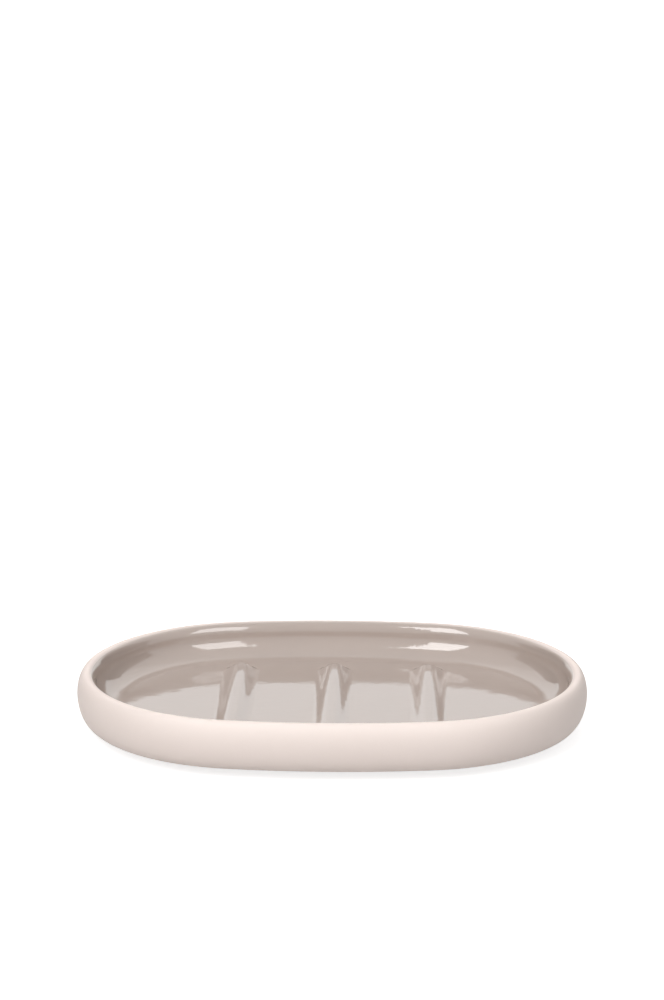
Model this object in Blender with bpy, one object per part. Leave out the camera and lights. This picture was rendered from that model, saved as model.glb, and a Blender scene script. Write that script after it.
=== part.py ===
"""Oval ceramic soap dish with three draining ribs, on four anti-slip pads.

Units are metres. +X runs along the dish, +Y to its back and +Z up.
The origin is on the table, under the middle of the dish.
"""
import math

import bpy

# Plan of the dish: an oval of two end arcs joined by two flatter side arcs, which bulge past them
dish_length = 0.140
dish_width = 0.100
side_bulge = 0.0015

# Wall of the ceramic body, from its underside up
body_height = 0.0137
belly_height = 0.0079
belly_inset = 0.0042
crest_inset = 0.0025
shoulder_width = 0.0026
shoulder_height = 0.0032
hollow_fillet = 0.0074
hollow_depth = 0.0094

# Draining ribs, one casting with the floor
rib_count = 3
rib_pitch = 0.0266
rib_length = 0.064
rib_width = 0.0096
rib_height = 0.0021
rib_nose = 0.0055
rib_root = 0.0004
rib_crown_share = 0.74
rib_nose_end = math.radians(84.0)

# Anti-slip pads and the foot ring that holds them
pad_diameter = 0.0090
pad_stand = 0.0010
pad_edge = 0.0003
pad_clearance = 0.0003
pad_direction = math.radians(50.0)
socket_depth = 0.0008
foot_inset = 0.0100
foot_height = 0.0015
recess_depth = 0.0007
foot_edge = 0.0004
foot_land = 0.0012

# How finely the round shapes are divided
end_steps = 14
side_steps = 4
belly_steps = 5
crest_steps = 4
shoulder_steps = 4
fillet_steps = 5
rib_crown_steps = 3
rib_nose_steps = 5
pad_sides = 32
smooth_angle = math.radians(40.0)

# Finishes
ceramic_colour = (0.78, 0.69, 0.64)
ceramic_roughness = 0.45
ceramic_coat = 0.3
silicone_colour = (0.72, 0.71, 0.69)
silicone_roughness = 0.5

# Worked out from the sizes above
end_radius = dish_width / 2 - side_bulge
end_centre = dish_length / 2 - end_radius
side_radius = (end_centre ** 2 + (dish_width / 2) ** 2 - end_radius ** 2) / (2 * side_bulge)
side_centre = side_radius - dish_width / 2
arc_joint = math.atan2(side_centre, end_centre)
foot_width = pad_diameter + 2 * (pad_clearance + foot_land)
foot_z = pad_stand
underside_z = foot_z + foot_height
belly_z = underside_z + belly_height
crest_z = underside_z + body_height
floor_z = crest_z - hollow_depth
recess_z = foot_z + recess_depth
shoulder_z = crest_z - shoulder_height
pad_inset = foot_inset + foot_width / 2


def clear_scene():
    for item in list(bpy.data.objects):
        bpy.data.objects.remove(item, do_unlink=True)


def make_material(name, colour, roughness, coat=0):
    material = bpy.data.materials.new(name)
    material.use_nodes = True
    shader = material.node_tree.nodes["Principled BSDF"]
    shader.inputs["Base Color"].default_value = (*colour, 1.0)
    shader.inputs["Roughness"].default_value = roughness
    shader.inputs["Metallic"].default_value = 0.0
    shader.inputs["Coat Weight"].default_value = coat
    return material


def add_object(name, points, faces, material):
    mesh = bpy.data.meshes.new(name)
    mesh.from_pydata(points, [], faces)
    mesh.materials.append(material)
    mesh.shade_smooth()
    mesh.set_sharp_from_angle(angle=smooth_angle)
    item = bpy.data.objects.new(name, mesh)
    bpy.context.scene.collection.objects.link(item)
    return item


def make_cutter(item):
    item.hide_render = True
    item.display_type = "WIRE"


def quarter_plan(inset):
    """Points of the quarter oval in +X +Y, from the end's tip to just before the side's middle."""
    points = []
    reach = end_radius - inset
    for step in range(end_steps):
        angle = arc_joint * step / end_steps
        points.append((end_centre + reach * math.cos(angle), reach * math.sin(angle)))
    reach = side_radius - inset
    for step in range(side_steps):
        angle = arc_joint + (math.pi / 2 - arc_joint) * step / side_steps
        points.append((reach * math.cos(angle), reach * math.sin(angle) - side_centre))
    return points


def plan_outline(inset):
    """The whole oval, anticlockwise, drawn in by the inset."""
    quarter = quarter_plan(inset)
    middle = (0.0, dish_width / 2 - inset)
    right_back = quarter + [middle]
    left_back = [(-x, y) for x, y in reversed(quarter)]
    back = right_back + left_back
    front = [(-x, -y) for x, y in back[1:-1]]
    return back + front


def arc_shares(steps):
    """Sine and one minus cosine of a quarter turn, in even steps after its start."""
    turns = [math.pi / 2 * (step + 1) / steps for step in range(steps)]
    return [(math.sin(turn), 1 - math.cos(turn)) for turn in turns]


def wall_profile():
    """Inset and height round the casting, from the hidden recess, over the rim, to the floor."""
    foot_far = foot_inset + foot_width
    profile = [(foot_far + foot_edge, recess_z), (foot_far, recess_z - foot_edge / 2)]
    profile += [(foot_far - foot_edge, foot_z)]
    profile += [(foot_inset + foot_edge, foot_z), (foot_inset, foot_z + foot_edge)]
    profile += [(foot_inset, underside_z), (belly_inset, underside_z)]
    for along, rise in arc_shares(belly_steps):
        profile.append((belly_inset * (1 - along), underside_z + belly_height * rise))
    for along, drawn in arc_shares(crest_steps):
        profile.append((crest_inset * drawn, belly_z + (crest_z - belly_z) * along))
    for along, drop in arc_shares(shoulder_steps):
        profile.append((crest_inset + shoulder_width * along, crest_z - shoulder_height * drop))
    for along, drawn in arc_shares(fillet_steps):
        inset = crest_inset + shoulder_width + hollow_fillet * drawn
        profile.append((inset, shoulder_z - (shoulder_z - floor_z) * along))
    return profile


def sweep_body():
    """One closed skin: a ring of the plan for each point of the profile, capped below and inside."""
    rings = []
    for inset, height in wall_profile():
        rings.append([(x, y, height) for x, y in plan_outline(inset)])
    count = len(rings[0])
    points = [point for ring in rings for point in ring]
    faces = []
    for lower in range(len(rings) - 1):
        start = lower * count
        for place in range(count):
            after = (place + 1) % count
            faces.append((start + place, start + after, start + count + after, start + count + place))
    faces.append(tuple(reversed(range(count))))
    faces.append(tuple(range(len(points) - count, len(points))))
    return points, faces


def rib_section(width, height):
    """Outline of a rib across X: a crowned top, with flanks that run down into the floor."""
    section = [(-width / 2, -rib_root)]
    for step in range(2 * rib_crown_steps + 1):
        across = step / rib_crown_steps - 1
        fall = rib_crown_share * across ** 2
        section.append((across * rib_crown_share * width / 2, height * (1 - fall)))
    section.append((width / 2, -rib_root))
    return section


def rib_stations():
    """Place along Y and the share of the full size there, from the front nose to the back one."""
    back = []
    straight = rib_length / 2 - rib_nose
    for step in range(rib_nose_steps + 1):
        turn = rib_nose_end * step / rib_nose_steps
        back.append((straight + rib_nose * math.sin(turn), math.cos(turn)))
    front = [(-place, share) for place, share in reversed(back)]
    return front + back


def make_rib(name, centre_x, material):
    """A closed loaf that reaches down into the floor, so that the union leaves no seam."""
    points = []
    stations = rib_stations()
    for place, share in stations:
        section = rib_section(rib_width * math.sqrt(share), rib_height * share)
        points += [(centre_x + x, place, floor_z + z) for x, z in section]
    count = len(points) // len(stations)
    faces = [tuple(range(count))]
    for station in range(len(stations) - 1):
        start = station * count
        for place in range(count):
            after = (place + 1) % count
            faces.append((start + place, start + count + place, start + count + after, start + after))
    faces.append(tuple(reversed(range(len(points) - count, len(points)))))
    rib = add_object(name, points, faces, material)
    make_cutter(rib)
    return rib


def disc_rings(centre_x, centre_y, radius, edge, low, high):
    """Rings of a round disc, low to high, with a small edge where edge isn't zero."""
    steps = [(radius, low + edge), (radius, high)]
    if edge > 0:
        steps.insert(0, (radius - edge, low))
    turns = [2 * math.pi * side / pad_sides for side in range(pad_sides)]
    spokes = [(math.cos(turn), math.sin(turn)) for turn in turns]
    rings = []
    for reach, height in steps:
        rings.append([(centre_x + reach * x, centre_y + reach * y, height) for x, y in spokes])
    return rings


def make_disc(name, rings, material):
    points = [point for ring in rings for point in ring]
    faces = [tuple(reversed(range(pad_sides)))]
    for lower in range(len(rings) - 1):
        start = lower * pad_sides
        for place in range(pad_sides):
            after = (place + 1) % pad_sides
            above = start + pad_sides
            faces.append((start + place, start + after, above + after, above + place))
    faces.append(tuple(range(len(points) - pad_sides, len(points))))
    return add_object(name, points, faces, material)


def pad_places():
    """Name and centre of each pad, on the middle line of the foot ring."""
    reach = end_radius - pad_inset
    x = end_centre + reach * math.cos(pad_direction)
    y = reach * math.sin(pad_direction)
    return {
        "front_left": (-x, -y),
        "front_right": (x, -y),
        "rear_left": (-x, y),
        "rear_right": (x, y),
    }


def add_boolean(item, other, operation):
    modifier = item.modifiers.new(other.name, "BOOLEAN")
    modifier.operation = operation
    modifier.solver = "EXACT"
    modifier.object = other


def make_body(glaze):
    """The casting: the swept wall and floor, with the ribs joined on."""
    points, faces = sweep_body()
    body = add_object("dish_body", points, faces, glaze)
    for number in range(rib_count):
        centre_x = (number - (rib_count - 1) / 2) * rib_pitch
        rib = make_rib(f"rib_form_{number + 1}", centre_x, glaze)
        add_boolean(body, rib, "UNION")
    return body


def make_pads(body, silicone):
    """Cuts a socket in the foot ring for each pad and sets the pad in it."""
    socket_roof = foot_z + socket_depth
    socket_radius = pad_diameter / 2 + pad_clearance
    pad_top = socket_roof - pad_clearance
    for place, (x, y) in pad_places().items():
        socket_rings = disc_rings(x, y, socket_radius, 0, 0, socket_roof)
        socket = make_disc(f"socket_{place}", socket_rings, silicone)
        make_cutter(socket)
        add_boolean(body, socket, "DIFFERENCE")
        pad_rings = disc_rings(x, y, pad_diameter / 2, pad_edge, 0, pad_top)
        make_disc(f"pad_{place}", pad_rings, silicone)


clear_scene()
dish_body = make_body(make_material("ceramic", ceramic_colour, ceramic_roughness, ceramic_coat))
make_pads(dish_body, make_material("silicone", silicone_colour, silicone_roughness))
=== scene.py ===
"""Oval ceramic soap dish, matt outside and glossy in the hollow, with three draining ribs.

Units are metres. +X runs along the dish, +Y to its back and +Z up.
"""
import math

import bpy
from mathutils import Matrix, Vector


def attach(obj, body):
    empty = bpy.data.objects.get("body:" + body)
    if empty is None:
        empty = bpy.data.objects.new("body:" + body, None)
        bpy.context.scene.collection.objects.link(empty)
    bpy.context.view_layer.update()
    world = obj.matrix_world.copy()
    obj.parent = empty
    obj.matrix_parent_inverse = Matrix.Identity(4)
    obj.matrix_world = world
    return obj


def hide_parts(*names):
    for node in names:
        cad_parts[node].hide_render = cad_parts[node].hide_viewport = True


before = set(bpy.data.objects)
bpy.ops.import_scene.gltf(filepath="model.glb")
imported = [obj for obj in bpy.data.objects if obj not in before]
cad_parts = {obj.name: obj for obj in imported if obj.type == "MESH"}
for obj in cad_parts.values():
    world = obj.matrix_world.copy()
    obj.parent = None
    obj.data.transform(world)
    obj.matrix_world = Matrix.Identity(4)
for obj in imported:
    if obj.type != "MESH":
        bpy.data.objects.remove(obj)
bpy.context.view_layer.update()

# The dish
# One slip-cast piece of fine stoneware: a thick rounded wall, a flat floor and a low foot ring.
# Its section is drawn beside the right-hand tip and run round the four centres of the oval, as a
# template is run round a mould. The floor, the foot's face and the recess inside it stay open.

half_length, half_width, side_bulge = 0.070, 0.050, 0.0015
foot_z, recess_z, underside_z, belly_z = 0.0010, 0.0017, 0.0025, 0.0104
floor_z, shoulder_z, crest_z = 0.0068, 0.0130, 0.0162
foot_outer, foot_inner, foot_edge = 0.0100, 0.0220, 0.0004
belly_inset, crest_inset, wall_inset, hollow_inset = 0.0042, 0.0025, 0.0051, 0.0125
flat_margin = 0.0010
round_steps, edge_steps = 18, 4
tip_steps, side_steps = 60, 40
touching = 0.00001

end_radius = half_width - side_bulge
end_centre = half_length - end_radius
side_radius = (end_centre ** 2 + half_width ** 2 - end_radius ** 2) / (2 * side_bulge)
side_centre = side_radius - half_width
tip_turn = math.atan2(side_centre, end_centre)


def pick(test):
    """In the piece being edited, selects the points whose place passes the test, and nothing else."""
    bpy.ops.mesh.select_all(action="DESELECT")
    bpy.ops.object.mode_set(mode="OBJECT")
    for point in bpy.context.object.data.vertices:
        point.select = test(point.co)
    bpy.ops.object.mode_set(mode="EDIT")


def near(value, wanted):
    return abs(value - wanted) < touching


def draw_line(corners):
    """Draws a chain of points in the section's plane, from a plane gathered to one point."""
    bpy.ops.mesh.primitive_plane_add(size=1, enter_editmode=True)
    bpy.ops.mesh.merge(type="CENTER")
    inset, height = corners[0]
    bpy.ops.transform.translate(value=(half_length - inset, 0, height))
    for (last_inset, last_height), (inset, height) in zip(corners, corners[1:]):
        move = (last_inset - inset, 0, height - last_height)
        bpy.ops.mesh.extrude_vertices_move(TRANSFORM_OT_translate={"value": move})


def round_corners(corners, **how):
    """Rounds those corners of the section: by a share of their sides, or by a small radius."""
    pick(lambda co: any(near(half_length - co.x, inset) and near(co.z, height) for inset, height in corners))
    bpy.ops.mesh.bevel(affect="VERTICES", **how)


bpy.ops.object.select_all(action="DESELECT")
draw_line([
    (foot_outer + flat_margin, foot_z), (foot_outer, foot_z), (foot_outer, underside_z),
    (belly_inset, underside_z), (0, underside_z), (0, belly_z), (0, crest_z), (crest_inset, crest_z),
    (wall_inset, crest_z), (wall_inset, shoulder_z), (wall_inset, floor_z), (hollow_inset, floor_z),
])
round_corners(
    [(0, underside_z), (0, crest_z), (wall_inset, crest_z), (wall_inset, floor_z)],
    offset_type="PERCENT", offset_pct=100, segments=round_steps,
)
round_corners([(foot_outer, foot_z), (foot_outer, underside_z)], offset=foot_edge, segments=edge_steps)
bpy.ops.object.mode_set(mode="OBJECT")
wall_line = bpy.context.object

draw_line([
    (foot_inner - flat_margin, foot_z), (foot_inner, foot_z), (foot_inner, recess_z),
    (foot_inner + flat_margin, recess_z),
])
round_corners([(foot_inner, foot_z), (foot_inner, recess_z)], offset=foot_edge / 2, segments=edge_steps)
bpy.ops.object.mode_set(mode="OBJECT")
dish = bpy.context.object
dish.name = "dish"
wall_line.select_set(True)
bpy.ops.object.join()

bpy.ops.object.mode_set(mode="EDIT")
bpy.ops.mesh.select_all(action="SELECT")
side_turn = math.pi - 2 * tip_turn
for turn, centre, steps in (
    (tip_turn, (end_centre, 0, 0), tip_steps),
    (side_turn, (0, side_centre, 0), side_steps),
    (2 * tip_turn, (-end_centre, 0, 0), 2 * tip_steps),
    (side_turn, (0, -side_centre, 0), side_steps),
    (tip_turn, (end_centre, 0, 0), tip_steps),
):
    bpy.ops.mesh.spin(steps=steps, angle=turn, center=centre, axis=(0, 0, 1))
bpy.ops.mesh.select_all(action="SELECT")
bpy.ops.mesh.remove_doubles(threshold=touching)
bpy.ops.object.mode_set(mode="OBJECT")

# The sockets
# Four shallow round seats, pressed into the foot ring before firing and left bare of glaze. Each
# is a ring of points pushed up into the foot. The foot's face and the recess are then filled in.

pad_x, pad_y, pad_radius, pad_clearance = 0.04239, 0.02490, 0.0045, 0.0003
socket_depth, socket_lip, socket_sides = 0.0008, 0.00015, 64
place_digits = 7
socket_radius = pad_radius + pad_clearance
pad_places = {
    "rear_right": (pad_x, pad_y), "rear_left": (-pad_x, pad_y),
    "front_left": (-pad_x, -pad_y), "front_right": (pad_x, -pad_y),
}

for x, y in pad_places.values():
    bpy.ops.object.select_all(action="DESELECT")
    bpy.ops.mesh.primitive_circle_add(
        vertices=socket_sides, radius=socket_radius + socket_lip, enter_editmode=True,
    )
    bpy.ops.transform.translate(value=(x, y, foot_z))
    bpy.ops.mesh.extrude_edges_move(TRANSFORM_OT_translate={"value": (0, 0, socket_lip)})
    narrower = socket_radius / (socket_radius + socket_lip)
    bpy.ops.transform.resize(value=(narrower, narrower, 1), center_override=(x, y, foot_z + socket_lip))
    bpy.ops.mesh.extrude_edges_move(TRANSFORM_OT_translate={"value": (0, 0, socket_depth - socket_lip)})
    bpy.ops.mesh.edge_face_add()
    bpy.ops.object.mode_set(mode="OBJECT")
    dish.select_set(True)
    bpy.context.view_layer.objects.active = dish
    bpy.ops.object.join()


def pick_rims(height):
    """Selects the points of the open edges at one height, by their places, for a fill to close."""
    bpy.ops.mesh.select_all(action="DESELECT")
    bpy.ops.mesh.select_non_manifold(
        extend=False, use_wire=False, use_multi_face=False, use_non_contiguous=False, use_verts=False,
    )
    bpy.ops.object.mode_set(mode="OBJECT")
    picked = [point.co for point in bpy.context.object.data.vertices if point.select]
    rims = {co.to_tuple(place_digits) for co in picked if near(co.z, height)}
    bpy.ops.object.mode_set(mode="EDIT")
    pick(lambda co: co.to_tuple(place_digits) in rims)


bpy.ops.object.mode_set(mode="EDIT")
pick_rims(foot_z)
bpy.ops.mesh.fill()
pick_rims(recess_z)
bpy.ops.mesh.fill()
bpy.ops.object.mode_set(mode="OBJECT")

# The draining ribs
# Three low ribs that hold the soap off the wet floor, one casting with it. Each is a fine sheet,
# pulled up along its crest while the rest follows, so that it swells out with no edge and ends in
# a round nose. The floor is then filled in round them, and the dish is one closed skin.

rib_pitch, rib_half_length = 0.0266, 0.0335
rib_height, rib_crest, rib_reach = 0.0021, 0.0006, 0.0048
rib_sheet_margin = 0.0004
rib_columns, rib_rows = 64, 270
smooth_angle = math.radians(40)

rib_half_straight = rib_half_length - rib_crest - rib_reach
rib_sheet_reach = rib_crest + rib_reach + rib_sheet_margin

for number in (-1, 0, 1):
    bpy.ops.object.select_all(action="DESELECT")
    bpy.ops.mesh.primitive_grid_add(
        x_subdivisions=rib_columns, y_subdivisions=rib_rows, size=1, enter_editmode=True,
    )
    sheet_size = (2 * rib_sheet_reach, 2 * (rib_half_straight + rib_sheet_reach), 1)
    bpy.ops.transform.resize(value=sheet_size, center_override=(0, 0, 0))
    pick(lambda co: math.hypot(co.x, max(abs(co.y) - rib_half_straight, 0)) < rib_crest)
    bpy.ops.transform.translate(
        value=(0, 0, rib_height), use_proportional_edit=True, proportional_edit_falloff="SMOOTH",
        proportional_size=rib_reach,
    )
    bpy.ops.mesh.select_all(action="SELECT")
    bpy.ops.transform.translate(value=(number * rib_pitch, 0, floor_z))
    bpy.ops.object.mode_set(mode="OBJECT")
    dish.select_set(True)
    bpy.context.view_layer.objects.active = dish
    bpy.ops.object.join()

bpy.ops.object.mode_set(mode="EDIT")
pick_rims(floor_z)
bpy.ops.mesh.fill()
bpy.ops.mesh.select_all(action="SELECT")
bpy.ops.mesh.normals_make_consistent(inside=False)
bpy.ops.object.mode_set(mode="OBJECT")
bpy.ops.object.shade_smooth_by_angle(angle=smooth_angle)

# The dish's finish
# A blush-beige matt glaze outside and over the rim, and a darker gloss glaze of the same hue in the
# hollow. The foot's flat face and its sockets are wiped bare before firing. Each point is marked 0
# for bare, 1 for matt or 2 for gloss, and the two glazes melt together along a soft line.

gloss_inset, gloss_end_inset, gloss_softness = 0.0030, 0.0039, 0.0008
bare_top = foot_z + foot_edge / 2
cloud_scale, ripple_scale, grain_scale = 60.0, 170.0, 2500.0
noise_detail, noise_roughness = 3.0, 0.55
glaze_ior, matt_roughness, gloss_roughness = 1.7, 0.7, 0.05
tooth_depth, ripple_depth = 0.00002, 0.00006
matt_light, matt_dark = (0.865, 0.756, 0.702), (0.84, 0.731, 0.677)
gloss_light, gloss_dark = (0.462, 0.387, 0.346), (0.441, 0.369, 0.33)
bare_light, bare_dark = (0.80, 0.72, 0.64), (0.74, 0.66, 0.58)


def inset_of(co):
    """How far in from the dish's oval outline, seen from above, a place lies."""
    x, y = abs(co.x), abs(co.y)
    if math.atan2(y, x - end_centre) < tip_turn:
        return end_radius - math.hypot(x - end_centre, y)
    return side_radius - math.hypot(x, y + side_centre)


def finish_of(co):
    """Nought where the foot is wiped bare, one for the matt glaze and two for the gloss.

    The line where the glazes meet lies a little further in at the dish's ends.
    """
    if co.z < underside_z:
        in_socket = math.hypot(abs(co.x) - pad_x, abs(co.y) - pad_y) < socket_radius + 2 * socket_lip
        return 0.0 if in_socket or co.z < bare_top else 1.0
    if co.z < belly_z and inset_of(co) < wall_inset:
        return 1.0
    change = gloss_inset + (gloss_end_inset - gloss_inset) * (co.x / half_length) ** 2
    share = (inset_of(co) - change + gloss_softness) / (2 * gloss_softness)
    share = min(max(share, 0.0), 1.0)
    return 1.0 + share * share * (3 - 2 * share)


finish = dish.data.attributes.new("finish", "FLOAT", "POINT")
finish.data.foreach_set("value", [finish_of(point.co) for point in dish.data.vertices])


def new_node(tree, kind, **values):
    """Adds a node to the tree of a material, group or world, with its sockets set by name."""
    node = tree.nodes.new(kind)
    for name, value in values.items():
        node.inputs[name.replace("_", " ")].default_value = value
    return node


# Fired and moulded surfaces are never quite even. The cloud is a faint change of tone over a
# centimetre or two, the ripple a slow wave of some millimetres and the grain a fine tooth.
grain = bpy.data.node_groups.new("surface_grain", "ShaderNodeTree")
for name in ("Cloud", "Ripple", "Grain"):
    grain.interface.new_socket(name + " Scale", in_out="INPUT", socket_type="NodeSocketFloat")
    grain.interface.new_socket(name, in_out="OUTPUT", socket_type="NodeSocketFloat")
inside = grain.nodes.new("NodeGroupInput")
outside = grain.nodes.new("NodeGroupOutput")
place = grain.nodes.new("ShaderNodeTexCoord")
for name in ("Cloud", "Ripple", "Grain"):
    noise = new_node(grain, "ShaderNodeTexNoise", Detail=noise_detail, Roughness=noise_roughness)
    grain.links.new(place.outputs["Object"], noise.inputs["Vector"])
    grain.links.new(inside.outputs[name + " Scale"], noise.inputs["Scale"])
    grain.links.new(noise.outputs["Fac"], outside.inputs[name])


def add_grain(tree, **scales):
    """Places the group in a material, with the scales of the kinds of grain that it takes."""
    surface = tree.nodes.new("ShaderNodeGroup")
    surface.node_tree = grain
    for name, scale in scales.items():
        surface.inputs[name + " Scale"].default_value = scale
    return surface


ceramic = bpy.data.materials.new("ceramic")
ceramic.use_nodes = True
tree = ceramic.node_tree
shader = tree.nodes["Principled BSDF"]
shader.inputs["IOR"].default_value = glaze_ior

marks = tree.nodes.new("ShaderNodeAttribute")
marks.attribute_name = "finish"
surface = add_grain(tree, Cloud=cloud_scale, Ripple=ripple_scale, Grain=grain_scale)

# The marks give two shares: of glaze over bare clay, and of gloss over matt in the glaze.
glazed = new_node(tree, "ShaderNodeMapRange", From_Min=0.0, From_Max=1.0)
glossy = new_node(tree, "ShaderNodeMapRange", From_Min=1.0, From_Max=2.0)
tree.links.new(marks.outputs["Fac"], glazed.inputs["Value"])
tree.links.new(marks.outputs["Fac"], glossy.inputs["Value"])


def mix_colours(tree, share, low, high):
    """Mixes two colours, each a plain value or an output, by a share.

    A Mix node's sockets for colours share their names with others, so they go by number.
    """
    mix = tree.nodes.new("ShaderNodeMix")
    mix.data_type = "RGBA"
    factor, first, second = mix.inputs[0], mix.inputs[6], mix.inputs[7]
    tree.links.new(share, factor)
    for socket, colour in ((first, low), (second, high)):
        if isinstance(colour, tuple):
            socket.default_value = (*colour, 1.0)
        else:
            tree.links.new(colour, socket)
    return mix.outputs[2]


cloud = surface.outputs["Cloud"]
matt = mix_colours(tree, cloud, matt_light, matt_dark)
gloss = mix_colours(tree, cloud, gloss_light, gloss_dark)
bare = mix_colours(tree, cloud, bare_light, bare_dark)
glaze = mix_colours(tree, glossy.outputs["Result"], matt, gloss)
tree.links.new(mix_colours(tree, glazed.outputs["Result"], bare, glaze), shader.inputs["Base Color"])

roughness = new_node(tree, "ShaderNodeMapRange", To_Min=matt_roughness, To_Max=gloss_roughness)
tree.links.new(glossy.outputs["Result"], roughness.inputs["Value"])
tree.links.new(roughness.outputs["Result"], shader.inputs["Roughness"])

# The gloss has a slow ripple where it ran before it set, and the matt glaze a fine tooth.
matt_share = new_node(tree, "ShaderNodeMapRange", To_Min=1.0, To_Max=0.0)
tree.links.new(glossy.outputs["Result"], matt_share.inputs["Value"])
relief = shader.inputs["Normal"]
for share, height, depth in (
    (glossy.outputs["Result"], surface.outputs["Ripple"], ripple_depth),
    (matt_share.outputs["Result"], surface.outputs["Grain"], tooth_depth),
):
    masked = tree.nodes.new("ShaderNodeMath")
    masked.operation = "MULTIPLY"
    tree.links.new(share, masked.inputs[0])
    tree.links.new(height, masked.inputs[1])
    bump = new_node(tree, "ShaderNodeBump", Strength=1.0, Distance=depth)
    tree.links.new(masked.outputs[0], bump.inputs["Height"])
    tree.links.new(bump.outputs["Normal"], relief)
    relief = bump.inputs["Normal"]

dish.data.materials.clear()
dish.data.materials.append(ceramic)
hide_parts("dish_body")
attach(dish, "root")

# The pads
# Four soft silicone discs that keep the wet dish from sliding. Each is moulded with a rounded
# edge and a shallow dimple in its face, and glued in its socket.

pad_height, pad_edge, dimple_radius, dimple_depth = 0.0015, 0.0003, 0.0026, 0.00015
pad_sides, pad_edge_steps = 64, 4
silicone_light, silicone_dark = (0.74, 0.73, 0.71), (0.68, 0.67, 0.65)
silicone_roughness, silicone_ior = 0.45, 1.41
silicone_cloud_scale, frost_scale, frost_strength, frost_depth = 60.0, 2500.0, 0.3, 0.00005

silicone = bpy.data.materials.new("silicone")
silicone.use_nodes = True
tree = silicone.node_tree
shader = tree.nodes["Principled BSDF"]
shader.inputs["Roughness"].default_value = silicone_roughness
shader.inputs["IOR"].default_value = silicone_ior
surface = add_grain(tree, Cloud=silicone_cloud_scale, Grain=frost_scale)
milky = mix_colours(tree, surface.outputs["Cloud"], silicone_light, silicone_dark)
tree.links.new(milky, shader.inputs["Base Color"])
frost = new_node(tree, "ShaderNodeBump", Strength=frost_strength, Distance=frost_depth)
tree.links.new(surface.outputs["Grain"], frost.inputs["Height"])
tree.links.new(frost.outputs["Normal"], shader.inputs["Normal"])

for name, (x, y) in sorted(pad_places.items()):
    bpy.ops.object.select_all(action="DESELECT")
    bpy.ops.mesh.primitive_cylinder_add(
        vertices=pad_sides, radius=pad_radius, depth=pad_height, enter_editmode=True,
    )
    pad = bpy.context.object
    pad.name = "pad_disc_" + name
    pick(lambda co: co.z < 0)
    bpy.ops.mesh.bevel(offset=pad_edge, segments=pad_edge_steps)
    pick(lambda co: near(co.z, -pad_height / 2))
    bpy.ops.mesh.inset(thickness=pad_radius - pad_edge - dimple_radius)
    bpy.ops.mesh.inset(thickness=dimple_depth, depth=-dimple_depth)
    bpy.ops.mesh.select_all(action="SELECT")
    bpy.ops.transform.translate(value=(x, y, pad_height / 2))
    bpy.ops.object.mode_set(mode="OBJECT")
    bpy.ops.object.shade_smooth_by_angle(angle=smooth_angle)
    pad.data.materials.append(silicone)
    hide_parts("pad_" + name)
    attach(pad, "root")

# The table
# A plain pale sheet, which is the floor and the backdrop in one. It is white to the camera and to
# reflections, apart from the dish's own soft shadow, and clear from below, so that it doesn't hide
# the underside of the dish.

table_size, paper_tone, paper_roughness = 6.0, 0.56, 0.9
glow_start, glow_end, glow_near, glow_far = 0.2, 1.2, 0.74, 1.0


def seen_rays(tree):
    """One for the rays of the camera, of reflections and of clear materials, else nought."""
    rays = tree.nodes.new("ShaderNodeLightPath")
    seen = rays.outputs["Is Camera Ray"]
    for kind in ("Is Glossy Ray", "Is Transmission Ray"):
        either = tree.nodes.new("ShaderNodeMath")
        either.operation = "MAXIMUM"
        tree.links.new(seen, either.inputs[0])
        tree.links.new(rays.outputs[kind], either.inputs[1])
        seen = either.outputs[0]
    return seen


bpy.ops.object.select_all(action="DESELECT")
bpy.ops.mesh.primitive_plane_add(size=table_size, enter_editmode=True)
bpy.ops.mesh.subdivide(number_cuts=2)
bpy.ops.object.mode_set(mode="OBJECT")
table = bpy.context.object
table.name = "table"
paper = bpy.data.materials.new("paper")
paper.use_nodes = True
tree = paper.node_tree
shader = tree.nodes["Principled BSDF"]
shader.inputs["Base Color"].default_value = (paper_tone, paper_tone, paper_tone, 1.0)
shader.inputs["Roughness"].default_value = paper_roughness

# The paper's glow, which only the seen rays get, grows from near the dish to far away from it.
place = tree.nodes.new("ShaderNodeTexCoord")
away = tree.nodes.new("ShaderNodeVectorMath")
away.operation = "LENGTH"
brightness = new_node(
    tree, "ShaderNodeMapRange", From_Min=glow_start, From_Max=glow_end, To_Min=glow_near, To_Max=glow_far,
)
glow = tree.nodes.new("ShaderNodeEmission")
tree.links.new(place.outputs["Object"], away.inputs[0])
tree.links.new(away.outputs["Value"], brightness.inputs["Value"])
tree.links.new(brightness.outputs["Result"], glow.inputs["Strength"])
added = tree.nodes.new("ShaderNodeAddShader")
shown = tree.nodes.new("ShaderNodeMixShader")
tree.links.new(shader.outputs[0], added.inputs[0])
tree.links.new(glow.outputs[0], added.inputs[1])
tree.links.new(seen_rays(tree), shown.inputs[0])
tree.links.new(shader.outputs[0], shown.inputs[1])
tree.links.new(added.outputs[0], shown.inputs[2])
side = tree.nodes.new("ShaderNodeNewGeometry")
clear = tree.nodes.new("ShaderNodeBsdfTransparent")
sheet = tree.nodes.new("ShaderNodeMixShader")
tree.links.new(side.outputs["Backfacing"], sheet.inputs[0])
tree.links.new(shown.outputs[0], sheet.inputs[1])
tree.links.new(clear.outputs[0], sheet.inputs[2])
tree.links.new(sheet.outputs[0], tree.nodes["Material Output"].inputs["Surface"])
table.data.materials.append(paper)

# The light
# White surroundings with a softbox on either side of the camera, which the gloss glaze mirrors as
# bright strips. The light that falls on the dish comes from lamps of its own in about the same
# places, and from soft fills in front, above and behind, so that each can be set by itself.

ambient_strength, seen_strength = 0.13, 1.0
white = (1.0, 1.0, 1.0, 1.0)

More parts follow.
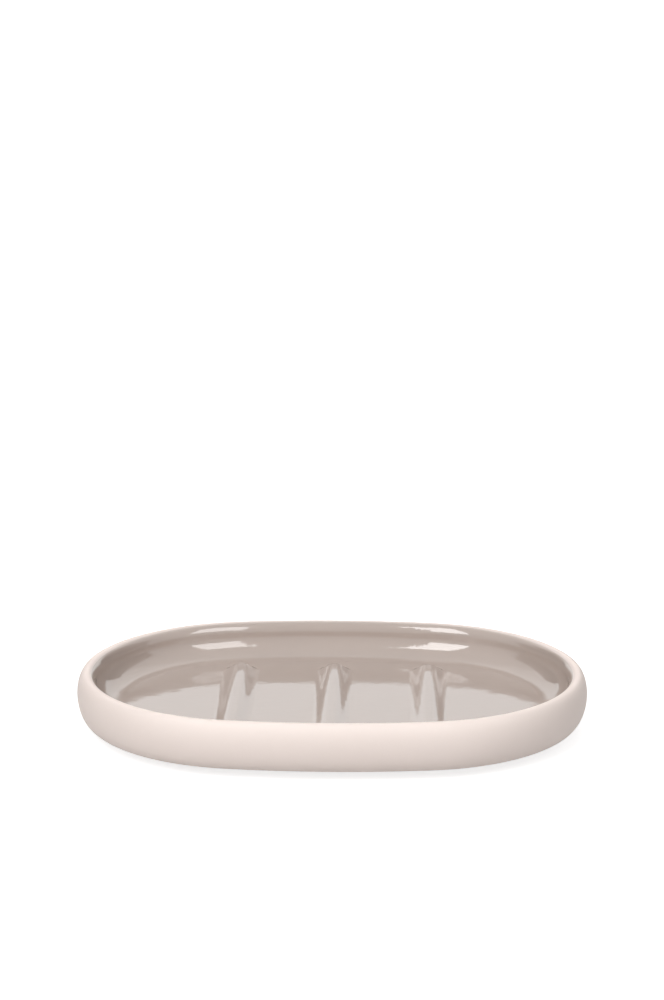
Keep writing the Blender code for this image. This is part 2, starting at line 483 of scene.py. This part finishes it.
world = bpy.data.worlds.new("studio")
bpy.context.scene.world = world
world.use_nodes = True
tree = world.node_tree
ambient = tree.nodes["Background"]
ambient.inputs["Color"].default_value = white
ambient.inputs["Strength"].default_value = ambient_strength
surroundings = new_node(tree, "ShaderNodeBackground", Color=white, Strength=seen_strength)
choose = tree.nodes.new("ShaderNodeMixShader")
tree.links.new(seen_rays(tree), choose.inputs[0])
tree.links.new(ambient.outputs[0], choose.inputs[1])
tree.links.new(surroundings.outputs[0], choose.inputs[2])
tree.links.new(choose.outputs[0], tree.nodes["World Output"].inputs["Surface"])

# Each lamp: whether gloss mirrors it or its light falls on things, its direction round the dish in
# degrees, from the front to the right, how far out and up its middle is, how many degrees it is
# tipped down from upright, its width and length, and its brightness.
for name, mirrored, azimuth, reach, rise, tip, width, length, radiance in (
    ("softbox_left", True, -30.5, 0.65, 0.85, 0, 0.36, 1.09, 6.0),
    ("softbox_right", True, 32.5, 0.65, 0.72, 0, 0.48, 0.81, 4.2),
    ("back_wall", True, 180, 0.80, 0.7, 0, 1.9, 1.4, 0.3),
    ("key_left", False, -32, 0.65, 0.85, 0, 0.45, 1.09, 5.45),
    ("fill_right", False, 50, 0.65, 0.72, 0, 0.46, 0.81, 2.0),
    ("front_fill", False, 5, 0.68, 1.2, 0, 1.9, 2.4, 0.21),
    ("top_panel", False, 0, 0.0, 0.9, 90, 0.6, 0.6, 1.1),
    ("back_panel", False, 180, 0.64, 0.64, 45, 0.6, 0.6, 2.0),
):
    lamp = bpy.data.objects.new(name, bpy.data.lights.new(name, "AREA"))
    bpy.context.scene.collection.objects.link(lamp)
    turn = math.radians(azimuth)
    lamp.location = (math.sin(turn) * reach, -math.cos(turn) * reach, rise)
    lamp.rotation_euler = (math.radians(90 - tip), 0, turn)
    lamp.data.shape = "RECTANGLE"
    lamp.data.size, lamp.data.size_y = width, length
    lamp.data.energy = math.pi * width * length * radiance
    lamp.visible_camera = False
    lamp.visible_glossy = mirrored
    lamp.visible_diffuse = not mirrored

# The flags
# Two low black panels of felt on boards, beside and behind the dish, out of the picture. Only the
# gloss glaze mirrors them, and so the ends of the hollow go dark, as they are in the photograph.

flag_width, flag_height, flag_reach, flag_azimuth = 0.70, 0.39, 0.6, math.radians(120)
felt_tone, felt_roughness = 0.02, 0.9

felt = bpy.data.materials.new("black_felt")
felt.use_nodes = True
shader = felt.node_tree.nodes["Principled BSDF"]
shader.inputs["Base Color"].default_value = (felt_tone, felt_tone, felt_tone, 1.0)
shader.inputs["Roughness"].default_value = felt_roughness

for name, turn in (("flag_left", -flag_azimuth), ("flag_right", flag_azimuth)):
    bpy.ops.object.select_all(action="DESELECT")
    bpy.ops.mesh.primitive_plane_add(size=1, enter_editmode=True)
    bpy.ops.transform.rotate(value=math.pi / 2, orient_axis="X", center_override=(0, 0, 0))
    bpy.ops.transform.resize(value=(flag_width, 1, flag_height), center_override=(0, 0, 0))
    bpy.ops.transform.translate(value=(0, -flag_reach, flag_height / 2))
    bpy.ops.transform.rotate(value=-turn, orient_axis="Z", center_override=(0, 0, 0))
    bpy.ops.object.mode_set(mode="OBJECT")
    flag = bpy.context.object
    flag.name = name
    flag.data.materials.append(felt)
    flag.visible_camera = False
    flag.visible_diffuse = False
    flag.visible_transmission = False
    flag.visible_shadow = False

# The camera
# It stands in front, a little to the right, 17.7 degrees above the dish, and looks over the top
# of it, so that the dish lies in the lower part of the upright picture.

camera_rise, camera_turn, camera_distance = math.radians(17.72), math.radians(1.49), 0.789
aim_rise, film_height, nearest, furthest = 0.00667, 36, 0.01, 50

# In rows of the picture: its height, the row that the dish's middle lies on, and a metre there.
picture_height, dish_row, dish_scale = 1000, 693.8, 3632.0

aim = Vector((0, 0, underside_z + aim_rise))
back = Vector((
    math.sin(camera_turn) * math.cos(camera_rise),
    -math.cos(camera_turn) * math.cos(camera_rise),
    math.sin(camera_rise),
))
focal_rows = dish_scale * camera_distance
tilt = math.atan2(dish_row - picture_height / 2, focal_rows)
forward = -back
right = forward.cross(Vector((0, 0, 1))).normalized()
up = right.cross(forward)
look = forward * math.cos(tilt) + up * math.sin(tilt)
camera = bpy.data.objects.new("camera", bpy.data.cameras.new("camera"))
bpy.context.scene.collection.objects.link(camera)
camera.location = aim + back * camera_distance
camera.rotation_euler = look.to_track_quat("-Z", "Y").to_euler()
camera.data.sensor_width = film_height
camera.data.lens = focal_rows * math.cos(tilt) / picture_height * film_height
camera.data.clip_start, camera.data.clip_end = nearest, furthest
bpy.context.scene.camera = camera
bpy.context.scene.view_settings.view_transform = "Standard"
